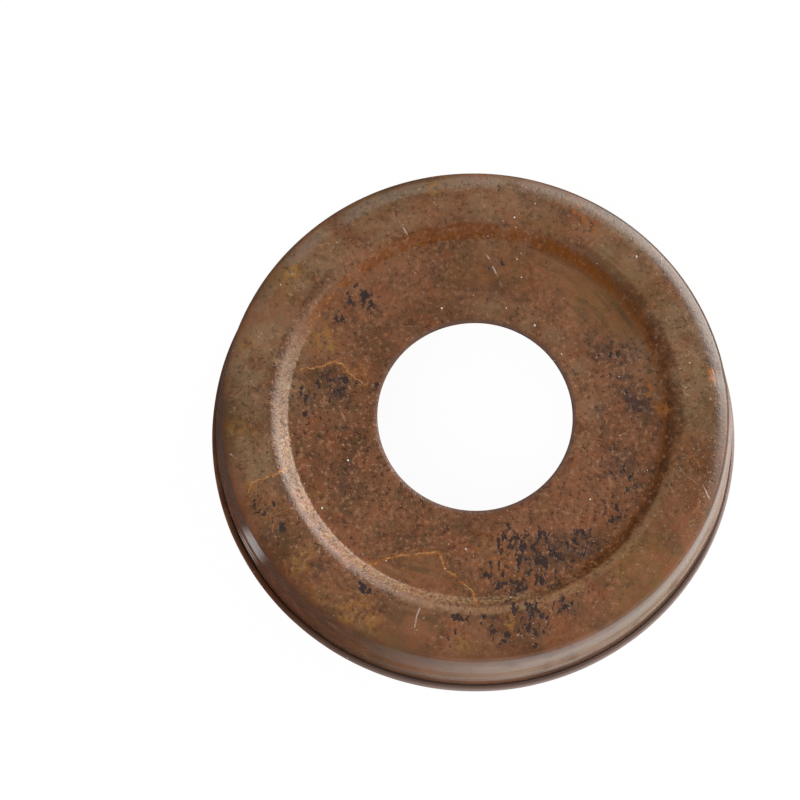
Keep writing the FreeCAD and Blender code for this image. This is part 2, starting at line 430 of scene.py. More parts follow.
@dataclass(frozen=True)
class LacqueredRust:
    """Rusted sheet steel under a satin clear lacquer."""

    name: str = "lacquered_rusted_steel"
    brown: str = "#906044"
    dark_brown: str = "#6c4830"
    rust: str = "#8e5334"
    umber: str = "#5f4b35"
    pale_brown: str = "#96683f"
    olive: str = "#7a6238"
    grey_and_sheen: str = "#93775a"
    scale: str = "#4c3d38"
    crust_low: str = "#4b3024"
    crust_high: str = "#9c6c50"
    pore: str = "#3f2b22"
    fleck: str = "#aa7c5c"
    ochre: str = "#a5763f"
    orange: str = "#a46432"
    pit: str = "#433430"
    glint: str = "#bfa685"
    cut: str = "#6d5751"
    # dark red-brown of the skirt's -X side: painted shade
    shaded: str = "#5a3020"
    # pale tone of the skirt's front and right side: a painted reflection of the pale surroundings
    painted_sheen: str = "#b99c82"
    # mauve-grey of the hem bead: a painted reflection of the pale floor
    hem: str = "#b09a92"
    bend_stains_and_light: tuple[BendStainAndLight, ...] = (
        BendStainAndLight("#80481a", 27.0, 1.4, 0.4, 30.0, -8.0, 5.0, 0.9, 4.0),
        # a stain along the step's slope towards +X, darkened as painted shade where the slope faces away from
        # the light
        BendStainAndLight("#573720", 27.9, 1.5, 0.8, 15.0, 14.0, 23.0, 0.6, 5.0),
        BendStainAndLight("#4c2d13", 27.2, 0.9, 0.3, -35.0, 8.0, 20.0, 0.45, 2.4),
        BendStainAndLight("#82460a", 26.7, 0.9, 0.25, 105.0, 10.0, 20.0, 0.8, 3.0),
        # painted shade on the head of the step towards -X, which tones its highlight down
        BendStainAndLight("#5c3d28", 28.4, 0.9, 0.3, 205.0, 6.0, 18.0, 0.75, 6.0),
        # painted highlight on the head of the step towards +X and -Y
        BendStainAndLight("#a67f5a", 28.4, 0.9, 0.3, 302.0, 14.0, 24.0, 0.6, 4.0),
        # painted grey on the shoulder towards +X and +Y, darkening the ground under its reflection so that
        # the reflection reads neutral
        BendStainAndLight("#5f5a5b", 34.4, 1.5, 0.6, 38.0, 20.0, 32.0, 0.6, 8.0),
        # painted highlight on the crown towards +Y
        BendStainAndLight("#95826f", 33.8, 1.2, 0.5, 105.0, 16.0, 29.0, 0.6, 5.0),
    )
    # pale sandy band on the step towards -X and -Y: a painted highlight, with a coarser grain
    painted_step_highlight: BendStainAndLight = BendStainAndLight("#b6956a", 26.8, 0.9, 0.3, 240.0, 9.0, 20.0, 0.75, 2.4)
    pens: tuple[Pen, ...] = (
        Pen(Mark.TIDE, "#bf8e58", 0.05, 0.15, 0.7, 1.3, 0.38),
        Pen(Mark.TIDE, "#a46432", 0.1, 0.7, 0.7, 0.45, 0.5),
        Pen(Mark.STREAK, "#a46432", 0.1, 0.4, 0.5, 0.6, 0.45),
        Pen(Mark.HAIRLINE, "#a4886e", 0.02, 0.07, 0.1, 1.3, 0.4),
        Pen(Mark.SCRATCH, "#bcab9b", 0.05, 0.14, 0.1, 0.6, 0.4),
        Pen(Mark.CRACK, "#3f2b22", 0.06, 0.16, 0.2, 1.3, 0.3),
    )
    roughness: float = 0.27
    crust_roughness: float = 0.42
    skirt_roughness: float = 0.14
    relief: float = 0.045               # millimetres that the crust stands out
    clouds: Spots = Spots(9.0, 0.35, 0.65)
    rust_blotches: Spots = Spots(3.0, 0.46, 0.72, 4.0)
    umber_clouds: Spots = Spots(4.5, 0.5, 0.7, 5.0)
    umber_blotches: Spots = Spots(1.5, 0.5, 0.68)
    olive_film: Spots = Spots(2.4, 0.36, 0.6)
    grey_and_sheen_film: Spots = Spots(2.7, 0.22, 0.66)
    dark_wipes: Spots = Spots(0.8, 0.5, 0.68, 4.0)      # streaks that the lacquering cloth left
    pale_wipes: Spots = Spots(1.12, 0.55, 0.75, 4.0)
    scale_flakes: Spots = Spots(2.0, 0.36, 0.56, 5.0)
    painted_step_highlight_grains: Spots = Spots(0.48, 0.36, 0.62, 1.0)
    crust_hollows: Spots = Spots(2.2, 0.5, 0.28, 3.0, 0.85)
    crust_tops: Spots = Spots(2.2, 0.5, 0.74, 3.0, 0.85)
    ochre_blooms: Spots = Spots(0.9, 0.4, 0.6)
    orange_blooms: Spots = Spots(1.1, 0.4, 0.6)
    pore_grains: Spots = Spots(0.6, 0.42, 0.3, 1.0, 0.6)
    fleck_grains: Spots = Spots(0.6, 0.57, 0.72, 1.0, 0.6)
    painted_sheen_blotches: Spots = Spots(4.8, 0.25, 0.52, 6.0, 0.65)
    painted_sheen_streaks: Spots = Spots(1.0, 0.05, 0.55, 2.0)
    shaded_blotches: Spots = Spots(1.8, 0.2, 0.6, 5.0, 0.6)
    wisp: float = 0.7                   # along a fine pale scuff of the rim
    wisp_levels: Pair = (0.65, 0.72)
    wipe_turn: Triple = (3.0, 3.0, 0.0)     # millimetres that a streak's noise turns through in one radian
    pit_size: float = 1.05              # across a pit
    pit_levels: Pair = (0.67, 0.745)
    pit_stretch: Triple = (1.2, 0.75, 1.0)
    hole_edge: float = 14.1
    rim_edge: Pair = (27.5, 30.0)       # radii at which the rim's rust begins and is full
    skirt_edge: float = 34.6
    painted_sheen_x: Pair = (-10.0, 13.0)        # where the painted reflection on the skirt begins, and where it is full
    painted_sheen_y: Pair = (16.0, 4.0)
    painted_sheen_foot: Pair = (3.0, 4.8)
    painted_sheen_head: Pair = (11.4, 9.0)
    painted_sheen_stretch: Triple = (0.17, 0.17, 4.0)
    shaded_x: Pair = (-2.0, -20.0)      # the same for the painted shade on its other side
    shaded_stretch: Triple = (0.6, 0.6, 1.2)
    hem_x: Pair = (-26.0, 0.0)          # the same for the painted reflection on the hem
    hem_height: Pair = (1.4, 1.0)
    crevice_height: float = 1.35        # of the dark line above the hem
    crevice_reach: Pair = (0.6, 0.1)

    def build(self) -> Material:
        """Builds the material.

        Returns:
            The material, placed by Object coordinates and the zones written on the mesh.
        """
        # Satin lacquer over rust: soft highlights that the crust breaks up, on a warm brown with dark pits;
        # the step, shoulder, skirt and hem also carry painted shade, painted highlights and painted
        # reflections
        material, add = new_material(self.name)
        place = millimetres(add)
        flat = add(VECTOR, (place, (1.0, 1.0, 0.0)), operation="MULTIPLY")
        radius = add(VECTOR, (flat,), "Value", operation="LENGTH")
        zone = {name: add("ShaderNodeAttribute", output="Fac", attribute_name=name) for name in ZONES}
        skirt = add(RANGE, (radius, self.skirt_edge - 0.8, self.skirt_edge + 0.8))
        rim = add(RANGE, (radius, *self.rim_edge, 0.25, 0.6))
        # where the step carries its painted highlight
        painted_step_highlight_level = self.painted_step_highlight.level(add, flat, radius)

        # coarse where the rust is thick, and almost flat where the lacquer lies smooth and on the skirt
        coarse = 0.57
        for level, weight in ((rim, -0.28), (zone["grainy"], 0.2), (zone["smooth"], -0.42), (skirt, -0.3),
                              (painted_step_highlight_level, 0.35)):
            coarse = add(MATH, (level, weight, coarse), operation="MULTIPLY_ADD", use_clamp=True)
        low = self.crust_hollows.level(add, place, coarse)
        high = self.crust_tops.level(add, place, coarse)
        pores = self.pore_grains.level(add, place, coarse)
        flecks = self.fleck_grains.level(add, place, coarse)

        # ragged pits, pale scuffs on the rim, and streaks that run round the axis
        drawn = add(VECTOR, (place, self.pit_stretch), operation="MULTIPLY")
        pits = add(NOISE, {"Vector": drawn, "Scale": 1 / self.pit_size, "Detail": 4.0, "Roughness": 0.6})
        pits = add(MATH, (zone["pitted"], 0.2, pits), operation="MULTIPLY_ADD")
        pits = add(RANGE, (pits, *self.pit_levels), **EASED)
        wisps = add(NOISE, {"Vector": place, "Scale": 1 / self.wisp, "Detail": 2.0, "Distortion": 1.6})
        wisps = add(RANGE, (wisps, *self.wisp_levels, 0.0, rim), **EASED)
        wisps = add(RANGE, (skirt, 0.0, 1.0, wisps, 0.0))
        spun = add(VECTOR, (flat,), operation="NORMALIZE")
        across = add("ShaderNodeCombineXYZ", (0.0, 0.0, radius))
        spun = add(VECTOR, (spun, self.wipe_turn, across), operation="MULTIPLY_ADD")
        wiped = add(MATH, (zone["smooth"], 0.45, 0.12), operation="MULTIPLY_ADD")
        wiped = add(RANGE, (skirt, 0.0, 1.0, wiped, 0.0))

        # from the ground up, each tint with its level
        layers = [
            (self.brown, self.clouds.level(add, place)),
            (self.rust, self.rust_blotches.level(add, place, 0.6)),
            (self.umber, self.umber_clouds.level(add, place, rim)),
            (self.umber, self.umber_blotches.level(add, place, coarse)),
            (self.pale_brown, zone["pale"]),
            (self.olive, self.olive_film.level(add, place, zone["olive"])),
            # grey rust tone, partly a painted reflection haze on the rim
            (self.grey_and_sheen, self.grey_and_sheen_film.level(add, place, zone["grey_and_sheen"])),
            (self.umber, self.dark_wipes.level(add, spun, wiped)),
            (self.fleck, self.pale_wipes.level(add, spun, wiped)),
            (self.scale, self.scale_flakes.level(add, place, zone["scaled"])),
            # stains along the bends, with painted shade and painted highlights
            *((stain_and_light.tint, stain_and_light.level(add, flat, radius)) for stain_and_light in self.bend_stains_and_light),
            # pale grains of the painted highlight on the step
            (self.painted_step_highlight.tint, self.painted_step_highlight_grains.level(add, place, painted_step_highlight_level)),
            (self.crust_low, low),
            (self.crust_high, high),
            (self.ochre, self.ochre_blooms.level(add, place, zone["ochre"])),
            (self.orange, self.orange_blooms.level(add, place, zone["orange"])),
            (self.pore, pores),
            (self.fleck, flecks),
            (self.pit, pits),
            (self.glint, wisps),
            *((pen.tint, pen.level(add, place)) for pen in self.pens),
            *self.edges(add, place, radius),
        ]
        colour = linear(self.dark_brown)
        for tint, level in layers:
            inputs = {SHARE: level, FIRST_TINT: colour, SECOND_TINT: linear(tint)}
            colour = add(MIX, inputs, MIXED_TINT, data_type="RGBA")

        height = 0.0
        for level, weight in ((high, 1.0), (low, -1.0), (flecks, 0.7), (pores, -0.7), (pits, -0.35)):
            height = add(MATH, (level, weight, height), operation="MULTIPLY_ADD")
        normal = add("ShaderNodeBump", {"Strength": 1.0, "Distance": self.relief * MM, "Height": height})
        rough = add(RANGE, (low, 0.0, 1.0, self.roughness, self.crust_roughness))
        rough = add(RANGE, (radius, self.skirt_edge - 1.6, self.skirt_edge, rough, self.skirt_roughness))
        shader = add("ShaderNodeBsdfPrincipled", {"Base Color": colour, "Roughness": rough, "Normal": normal})
        add("ShaderNodeOutputMaterial", {"Surface": shader})
        return material

    def edges(self, add: Adder, place: Socket, radius: Socket) -> list[tuple[str, Socket]]:
        """Greys the hole's cut edge, paints a pale reflection on one side of the skirt and hem, and paints
        shade on the other side.

        Args:
            add: Adds a node to the material.
            place: Coordinates in millimetres.
            radius: Distance from the axis.

        Returns:
            The layers, as tint and level.
        """
        split = add(SPLIT, (place,)).node.outputs
        height = split["Z"]
        cut = add(RANGE, (radius, self.hole_edge + 0.1, self.hole_edge - 0.15, 0.0, 0.7))
        skirt = add(RANGE, (radius, self.skirt_edge + 0.1, self.skirt_edge + 0.8, 0.0, 0.7))
        wall = skirt
        # the pale wall: a painted reflection, full on the skirt's front and right, streaked up and down
        for way, limits in ((split["X"], self.painted_sheen_x), (split["Y"], self.painted_sheen_y), (height, self.painted_sheen_foot),
                            (height, self.painted_sheen_head)):
            wall = add(RANGE, (way, *limits, 0.0, wall), **EASED)
        wall = self.painted_sheen_blotches.level(add, place, wall)
        drawn = add(VECTOR, (place, self.painted_sheen_stretch), operation="MULTIPLY")
        wall = self.painted_sheen_streaks.level(add, drawn, wall)
        # painted shade on the skirt's -X side
        shade = add(RANGE, (split["X"], *self.shaded_x, 0.0, skirt), **EASED)
        drawn = add(VECTOR, (place, self.shaded_stretch), operation="MULTIPLY")
        shade = self.shaded_blotches.level(add, drawn, shade)
        # painted reflection on the hem bead, less of it towards -X
        hem = add(RANGE, (height, *self.hem_height, 0.0, 0.85), **EASED)
        hem = add(RANGE, (split["X"], *self.hem_x, 0.0, hem))
        off = add(MATH, (height, self.crevice_height), operation="SUBTRACT")
        off = add(MATH, (off,), operation="ABSOLUTE")
        crevice = add(RANGE, (off, *self.crevice_reach, 0.0, 0.7), **EASED)
        return [(self.cut, cut), (self.painted_sheen, wall), (self.shaded, shade), (self.hem, hem),
                (self.pore, crevice)]


@dataclass(frozen=True)
class DullRust:
    """Rusted sheet steel with no lacquer on it."""

    name: str = "dull_rusted_steel"
    brown: str = "#5e4130"
    rust: str = "#85512c"
    blotch: float = 3.0
    grain: float = 0.6
    relief: float = 0.06

    def build(self) -> Material:
        """Builds the material.

        Returns:
            The material, placed by Object coordinates.
        """
        # Bare rust: matt and powdery, with orange blotches on brown
        material, add = new_material(self.name)
        place = millimetres(add)
        blotch = add(NOISE, {"Vector": place, "Scale": 1 / self.blotch, "Detail": 5.0})
        blotch = add(RANGE, (blotch, 0.38, 0.68), **EASED)
        inputs = {SHARE: blotch, FIRST_TINT: linear(self.brown), SECOND_TINT: linear(self.rust)}
        colour = add(MIX, inputs, MIXED_TINT, data_type="RGBA")
        grain = add(NOISE, {"Vector": place, "Scale": 1 / self.grain, "Detail": 3.0})
        rough = add(RANGE, (grain, 0.3, 0.7, 0.6, 0.85))
        normal = add("ShaderNodeBump", {"Strength": 0.4, "Distance": self.relief * MM, "Height": grain})
        shader = add("ShaderNodeBsdfPrincipled", {"Base Color": colour, "Roughness": rough, "Normal": normal})
        add("ShaderNodeOutputMaterial", {"Surface": shader})
        return material


@dataclass(frozen=True)
class MouldedRubber:
    """Moulded rubber, greyed with age."""

    name: str = "moulded_rubber"
    dark: str = "#2e2b29"
    bloom: str = "#5a544e"
    cloud: float = 4.0
    speck: float = 0.5
    relief: float = 0.04

    def build(self) -> Material:
        """Builds the material.

        Returns:
            The material, placed by Object coordinates.
        """
        # Old rubber: matt and dark, with a pale bloom that lies in clouds
        material, add = new_material(self.name)
        place = millimetres(add)
        cloud = add(NOISE, {"Vector": place, "Scale": 1 / self.cloud, "Detail": 5.0})
        cloud = add(RANGE, (cloud, 0.4, 0.75, 0.0, 0.6), **EASED)
        inputs = {SHARE: cloud, FIRST_TINT: linear(self.dark), SECOND_TINT: linear(self.bloom)}
        colour = add(MIX, inputs, MIXED_TINT, data_type="RGBA")
        speck = add(NOISE, {"Vector": place, "Scale": 1 / self.speck, "Detail": 2.0})
        rough = add(RANGE, (cloud, 0.0, 1.0, 0.55, 0.8))
        normal = add("ShaderNodeBump", {"Strength": 0.3, "Distance": self.relief * MM, "Height": speck})
        shader = add("ShaderNodeBsdfPrincipled", {"Base Color": colour, "Roughness": rough, "Normal": normal})
        add("ShaderNodeOutputMaterial", {"Surface": shader})
        return material


@dataclass(frozen=True)
class DustWithPaintedGlint:
    """Grains of dust set in the lacquer, off-white so that they show as bright specks: a painted glint."""

    name: str = "dust_with_painted_glint"
    pale: str = "#f4eee4"
    sandy: str = "#b79d80"
    spacing: float = 3.0

    def build(self) -> Material:
        """Builds the material.

        Returns:
            The material, placed by Object coordinates.
        """
        # Dust grains: most of them off-white as a painted glint, and some sandy, glazed by the lacquer
        material, add = new_material(self.name)
        place = millimetres(add)
        tone = add(NOISE, {"Vector": place, "Scale": 1 / self.spacing, "Detail": 2.0})
        tone = add(RANGE, (tone, 0.52, 0.66))
        inputs = {SHARE: tone, FIRST_TINT: linear(self.pale), SECOND_TINT: linear(self.sandy)}
        colour = add(MIX, inputs, MIXED_TINT, data_type="RGBA")
        rough = add(RANGE, (tone, 0.0, 1.0, 0.3, 0.5))
        shader = add("ShaderNodeBsdfPrincipled", {"Base Color": colour, "Roughness": rough})
        add("ShaderNodeOutputMaterial", {"Surface": shader})
        return material


def bent_line(corners: list[tuple[float, float, float, float]]) -> list[Vector]:
    """Lays points along a line that is rounded at its inner corners.

    Args:
        corners: Radius and height of each corner, its bend, and how far apart the points after it lie.

    Returns:
        The points, as (radius, height).
    """
    points = [Vector(corners[0][:2])]

    def straight(end: Vector, spacing: float) -> None:
        """Goes on in a straight line.

        Args:
            end: Where the line ends.
            spacing: How far apart its points lie, about.
        """
        start = points[-1].copy()
        steps = max(1, round((end - start).length / spacing))
        points.extend(start.lerp(end, n / steps) for n in range(1, steps + 1))

    for before, here, after in zip(corners, corners[1:], corners[2:]):
        corner, bend = Vector(here[:2]), here[2]
        back = (Vector(before[:2]) - corner).normalized()
        ahead = (Vector(after[:2]) - corner).normalized()
        turn = math.pi - back.angle(ahead)
        straight(corner + back * bend * math.tan(turn / 2), before[3])
        centre = corner + (back + ahead).normalized() * bend / math.cos(turn / 2)
        arm = points[-1] - centre
        sweep = math.copysign(turn, arm.x * ahead.y - arm.y * ahead.x)
        steps = max(3, math.ceil(turn / math.radians(BEND_STEP_DEGREES)))
        points.extend(centre + Matrix.Rotation(sweep * n / steps, 2) @ arm for n in range(1, steps + 1))
    straight(Vector(corners[-1][:2]), corners[-2][3])
    return points


def closed_sheet(face: list[Vector], gauge: float) -> list[Vector]:
    """Gives a line the thickness of a sheet, with rounded cut edges.

    Args:
        face: Points of the sheet's outer face, whose metal is on the right of its run.
        gauge: Thickness of the sheet.

    Returns:
        The points of the closed section, outer face first.
    """
    back = []
    for n, point in enumerate(face):
        run = (face[min(n + 1, len(face) - 1)] - face[max(n - 1, 0)]).normalized()
        back.append(point + Vector((run.y, -run.x)) * gauge)

    def edge(start: Vector, end: Vector) -> list[Vector]:
        """Rounds a cut edge.

        Args:
            start: Point of one face.
            end: Point of the other face.

        Returns:
            The points between them, on a half circle.
        """
        centre, arm = (start + end) / 2, (start - end) / 2
        step = -math.pi / (EDGE_POINTS + 1)
        return [centre + Matrix.Rotation(step * n, 2) @ arm for n in range(1, EDGE_POINTS + 1)]

    return face + edge(face[-1], back[-1]) + back[::-1] + edge(back[0], face[0])


def new_group(name: str, **inputs: Sequence[str]) -> tuple[Tree, Adder, Any]:
    """Makes a Geometry Nodes tree with named inputs and no nodes between them and its result.

    Args:
        name: The tree's name.
        inputs: Names of the inputs beside its geometry, by their type.

    Returns:
        The tree, add_node for it, and what its inputs give, by name.
    """
    tree = bpy.data.node_groups.new(name, "GeometryNodeTree")
    tree.interface.new_socket("Geometry", in_out="OUTPUT", socket_type="NodeSocketGeometry")
    for kind, names in {"Geometry": ("Geometry",), **inputs}.items():
        for socket in names:
            tree.interface.new_socket(socket, in_out="INPUT", socket_type="NodeSocket" + kind)
    add = partial(add_node, tree)
    return tree, add, add("NodeGroupInput").node.outputs


def lathe_tree(outside: Material, inside: Material) -> Tree:
    """Builds the Geometry Nodes tree that turns a closed section about +Z and rolls a thread into it.

    Args:
        outside: Material of the faces made from the first points of the section.
        inside: Material of the rest.

    Returns:
        The tree, with the section's mesh as its geometry.
    """
    tree, add, given = new_group(
        "turned_sheet", Int=("Facets", "Outside Points"), Vector=("Dent Place",),
        Float=("Thread Start", "Thread Height", "Thread Pitch", "Thread Turns", "Thread Rise",
               "Thread Half Width", "Thread Fade", "Waviness", "Wave Size", "Dent Depth", "Dent Reach"))

    # a grid, one way along the section and the other way round the axis
    count = add("GeometryNodeAttributeDomainSize", (given["Geometry"],), "Point Count")
    rows = add(WHOLE_MATH, (count, 1), operation="ADD")
    columns = add(WHOLE_MATH, (given["Facets"], 1), operation="ADD")
    grid = add("GeometryNodeMeshGrid", {"Vertices X": rows, "Vertices Y": columns})
    index = add("GeometryNodeInputIndex")
    strip = add(WHOLE_MATH, (index, given["Facets"]), operation="DIVIDE_FLOOR")
    inner = add("FunctionNodeCompare", {2: strip, 3: given["Outside Points"]}, data_type="INT",
                operation="GREATER_EQUAL")
    grid = add("GeometryNodeStoreNamedAttribute", {"Geometry": grid, "Name": "inner", "Value": inner},
               data_type="BOOLEAN", domain="FACE")
    row = add(WHOLE_MATH, (index, columns), operation="DIVIDE_FLOOR")
    row = add(WHOLE_MATH, (row, count), operation="MODULO")
    column = add(WHOLE_MATH, (index, columns), operation="MODULO")
    position = add("GeometryNodeInputPosition")
    section = add("GeometryNodeSampleIndex", {"Geometry": given["Geometry"], "Value": position, "Index": row},
                  data_type="FLOAT_VECTOR", domain="POINT")
    section = add(SPLIT, (section,)).node.outputs
    share = add(MATH, (column, given["Facets"]), operation="DIVIDE")
    angle = add(MATH, (share, math.tau), operation="MULTIPLY")

    # the thread, a ridge along a right-hand helix that fades in and out; it passes each place once or twice
    turn = add(MATH, (share, given["Thread Start"]), operation="SUBTRACT")
    turn = add(MATH, (turn,), operation="FRACT")
    ridge = 0.0
    for lap in (0.0, 1.0):
        passed = add(MATH, (turn, lap), operation="ADD")
        height = add(MATH, (passed, given["Thread Pitch"], given["Thread Height"]), operation="MULTIPLY_ADD")
        off = add(MATH, (section["Z"], height), operation="SUBTRACT")
        off = add(MATH, (off,), operation="ABSOLUTE")
        shape = add(RANGE, (off, given["Thread Half Width"], 0.0), **EASED)
        left = add(MATH, (given["Thread Turns"], passed), operation="SUBTRACT")
        ends = add(MATH, (passed, left), operation="MINIMUM")
        fade = add(RANGE, (ends, 0.0, given["Thread Fade"]), **EASED)
        shape = add(MATH, (shape, fade), operation="MULTIPLY")
        ridge = add(MATH, (ridge, shape), operation="MAXIMUM")
    radius = add(MATH, (ridge, given["Thread Rise"], section["X"]), operation="MULTIPLY_ADD")
    x, y = (add(MATH, (radius, add(MATH, (angle,), operation=ratio)), operation="MULTIPLY")
            for ratio in ("COSINE", "SINE"))
    place = add("ShaderNodeCombineXYZ", (x, y, section["Z"]))
    turned = add("GeometryNodeSetPosition", {"Geometry": grid, "Position": place})
    turned = add("GeometryNodeMergeByDistance", {"Geometry": turned, "Distance": SEAM * MM})

    # the press leaves the sheet a little uneven, and handling has dented it once
    scale = add(MATH, (1.0, given["Wave Size"]), operation="DIVIDE")
    wave = add(NOISE, {"Scale": scale, "Detail": 1.0}, "Color")
    wave = add(VECTOR, (wave, (0.5, 0.5, 0.5)), operation="SUBTRACT")
    wave = add(VECTOR, {0: wave, "Scale": given["Waviness"]}, operation="SCALE")
    apart = add(VECTOR, (position, given["Dent Place"]), "Value", operation="DISTANCE")
    dent = add(RANGE, (apart, given["Dent Reach"], 0.0, 0.0, given["Dent Depth"]), **EASED)
    inward = add(VECTOR, (given["Dent Place"],), operation="NORMALIZE")
    inward = add(VECTOR, (inward, DENT_PUSH), operation="MULTIPLY")
    push = add(VECTOR, {0: inward, "Scale": dent}, operation="SCALE")
    offset = add(VECTOR, (wave, push), operation="ADD")
    turned = add("GeometryNodeSetPosition", {"Geometry": turned, "Offset": offset})

    smooth = add("GeometryNodeSetShadeSmooth", {"Geometry": turned})
    whole = add("GeometryNodeRealizeInstances", {"Geometry": smooth})
    is_inner = add("GeometryNodeInputNamedAttribute", {"Name": "inner"}, data_type="BOOLEAN")
    whole = add("GeometryNodeSetMaterial", {"Geometry": whole, "Material": outside})
    whole = add("GeometryNodeSetMaterial", {"Geometry": whole, "Selection": is_inner, "Material": inside})
    add("NodeGroupOutput", {"Geometry": whole})
    return tree


def speck_tree(material: Material) -> Tree:
    """Builds the Geometry Nodes tree that scatters specks over the upper outer faces of a turned sheet.

    Args:
        material: What the specks are made of.

    Returns:
        The tree, with the sheet as its geometry and only the specks as its result.
    """
    tree, add, given = new_group(
        "scattered_specks", Int=("Seed",), Vector=("Shape",),
        Float=("Per Square Metre", "Least Upward", "Smallest", "Largest", "Rarity"))
    normal = add("GeometryNodeInputNormal")
    upward = add(SPLIT, (normal,), "Z")
    facing = add("FunctionNodeCompare", (upward, given["Least Upward"]), data_type="FLOAT",
                 operation="GREATER_THAN")
    is_inner = add("GeometryNodeInputNamedAttribute", {"Name": "inner"}, data_type="BOOLEAN")
    facing = add("FunctionNodeBooleanMath", (facing, is_inner), operation="NIMPLY")
    spread = add("GeometryNodeDistributePointsOnFaces", {
        "Mesh": given["Geometry"], "Selection": facing, "Density": given["Per Square Metre"],
        "Seed": given["Seed"]})
    ball = add("GeometryNodeMeshIcoSphere", {"Radius": 1.0, "Subdivisions": 1})

    # many small specks and few large ones, each a little flat
    chance = add("FunctionNodeRandomValue", {2: 0.0, 3: 1.0, "Seed": given["Seed"]}, 1, data_type="FLOAT")
    chance = add(MATH, (chance, given["Rarity"]), operation="POWER")
    size = add(RANGE, (chance, 0.0, 1.0, given["Smallest"], given["Largest"]))
    size = add("ShaderNodeCombineXYZ", (size, size, size))
    size = add(VECTOR, (size, given["Shape"]), operation="MULTIPLY")
    specks = add("GeometryNodeInstanceOnPoints", {
        "Points": spread, "Instance": ball, "Rotation": spread.node.outputs["Rotation"], "Scale": size})
    specks = add("GeometryNodeRealizeInstances", {"Geometry": specks})
    specks = add("GeometryNodeSetShadeSmooth", {"Geometry": specks})
    specks = add("GeometryNodeSetMaterial", {"Geometry": specks, "Material": material})
    add("NodeGroupOutput", {"Geometry": specks})
    return tree


def run_tree(name: str, source: Mesh, tree: Tree, sizes: dict[str, Any]) -> Object:
    """Makes a plain mesh piece with a Geometry Nodes tree.

    Args:
        name: The piece's name.
        source: Mesh that the tree works on.
        tree: The tree.
        sizes: Values of its inputs, by name.

    Returns:
        The piece's object, at the origin, with no modifier.
    """
    piece = bpy.data.objects.new(name, source)
    bpy.context.scene.collection.objects.link(piece)
    modifier = piece.modifiers.new(tree.name, "NODES")
    modifier.node_group = tree
    for socket in tree.interface.items_tree:
        if socket.in_out == "INPUT" and socket.name in sizes:
            modifier[socket.identifier] = sizes[socket.name]
    evaluated = piece.evaluated_get(bpy.context.evaluated_depsgraph_get())
    mesh = bpy.data.meshes.new_from_object(evaluated)
    piece.modifiers.remove(modifier)
    piece.data = mesh
    mesh.name = name
    return piece


def section_mesh(points: list[Vector]) -> Mesh:
    """Makes the mesh of a section.

    Args:
        points: Its points, as (radius, height).

    Returns:
        The mesh, in metres, in the XZ plane and without edges.
    """
    mesh = bpy.data.meshes.new("section")
    mesh.from_pydata([(p.x * MM, 0.0, p.y * MM) for p in points], [], [])
    return mesh


